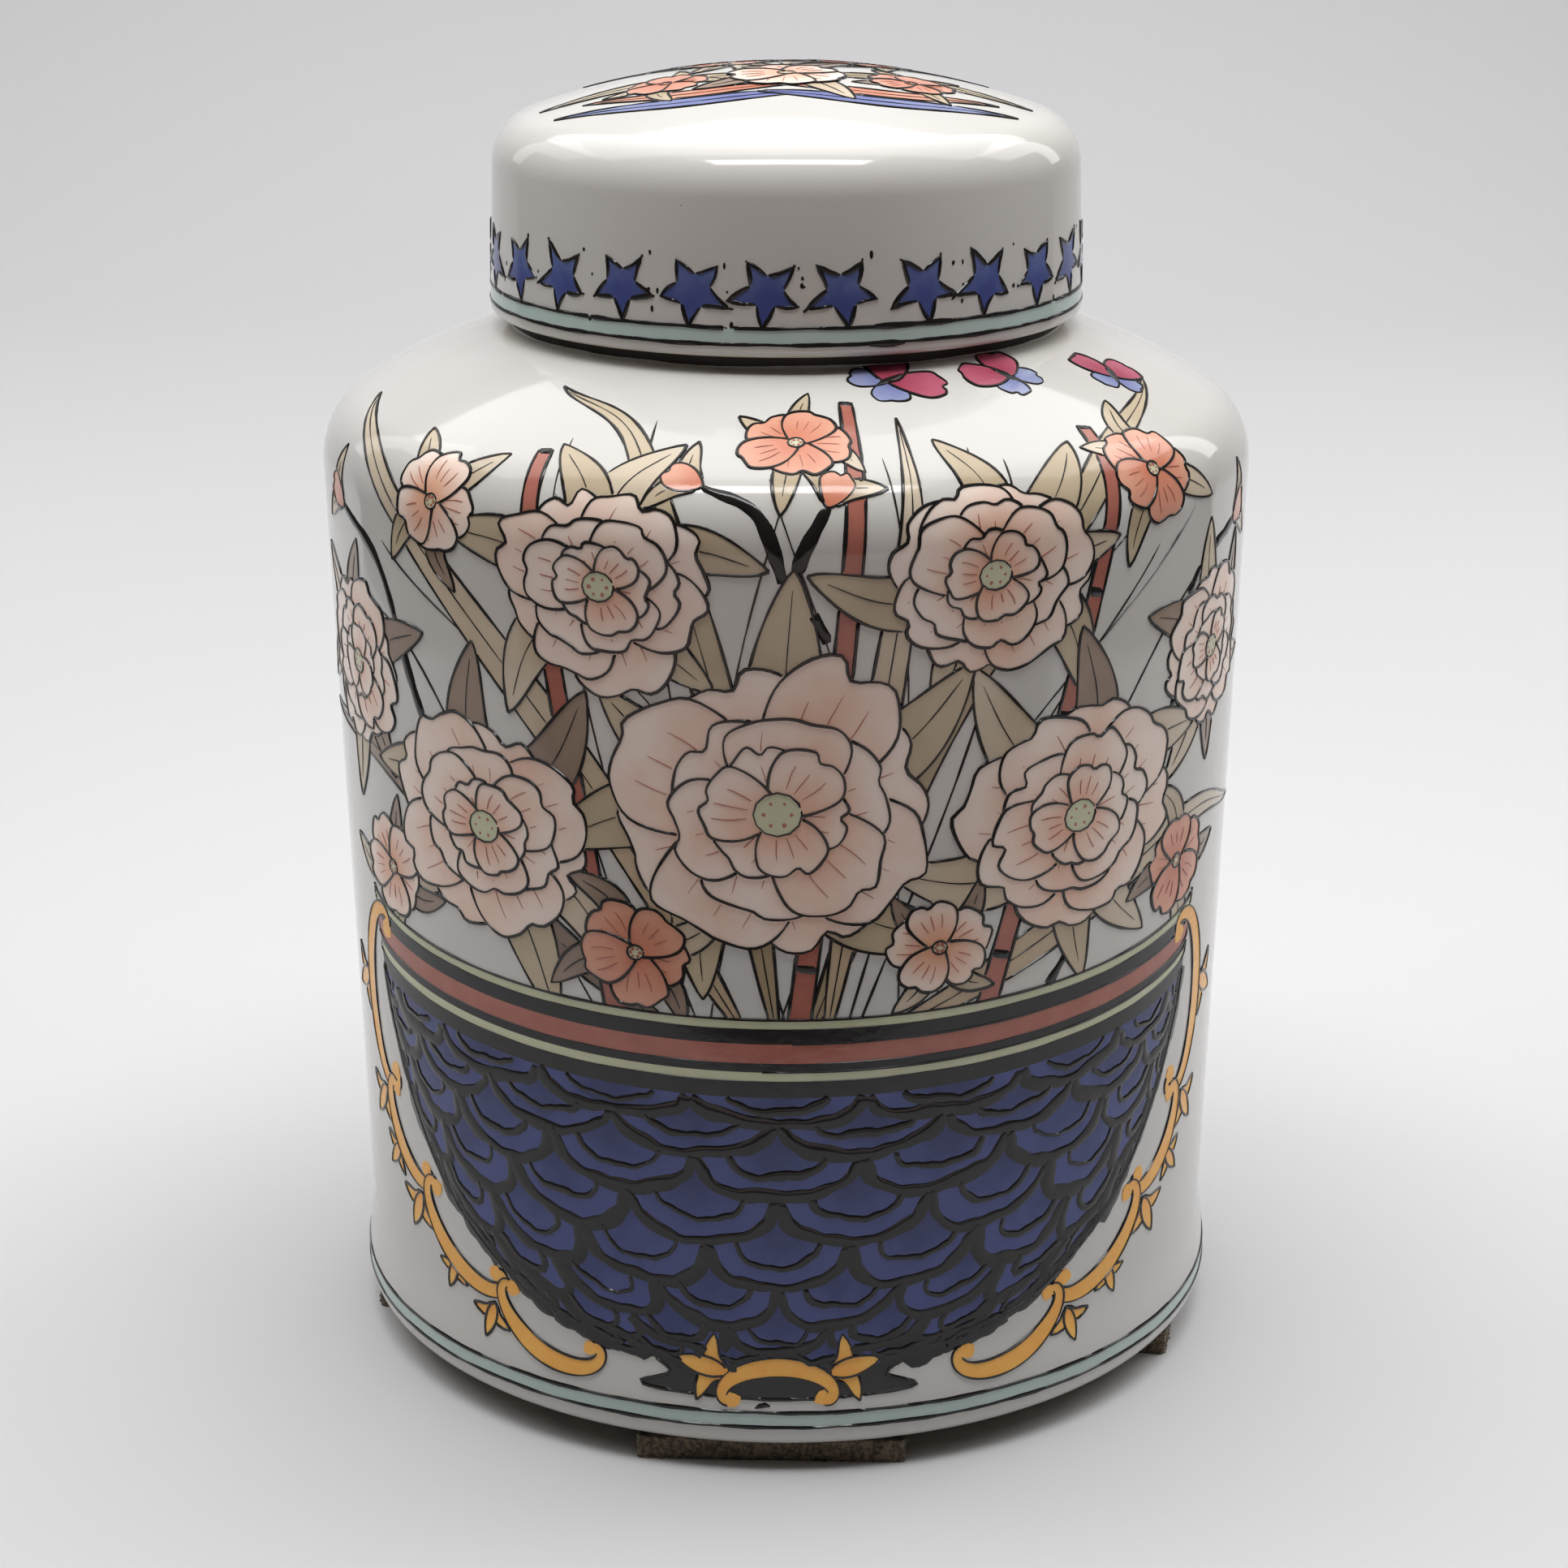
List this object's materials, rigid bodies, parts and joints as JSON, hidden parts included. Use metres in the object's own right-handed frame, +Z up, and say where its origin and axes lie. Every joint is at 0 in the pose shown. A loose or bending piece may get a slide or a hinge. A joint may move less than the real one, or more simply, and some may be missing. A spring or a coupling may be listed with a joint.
{
  "type": "lidded jar",
  "caption": "Round glazed porcelain storage jar with a domed shoulder, a hidden neck, a drop-over domed lid that lifts off, and felt strips under its foot.",
  "frame": {"origin": "on the jar's axis, on the ground under the felt strips", "axes": "+Z up along the jar's axis, -Y towards the painted front, +X to the viewer's right"},
  "size_m": [0.208, 0.208, 0.2897],
  "materials": {
    "porcelain": "glossy clear glaze over white porcelain, with painted enamels",
    "felt": "pressed brown felt",
    "glue": "dull self-adhesive film"
  },
  "bodies": {
    "jar": {"jar_body": "porcelain", "felt_pad_front": "felt", "felt_pad_right": "felt", "felt_pad_back": "felt", "felt_pad_left": "felt", "pad_glue_front": "glue", "pad_glue_right": "glue", "pad_glue_back": "glue", "pad_glue_left": "glue"},
    "lid": {"lid": "porcelain"}
  },
  "joints": [
    {"name": "lid_lift", "type": "slide", "parent": "jar", "child": "lid", "axis": [0, 0, 1], "range_m": [0, 0.09]}
  ]
}
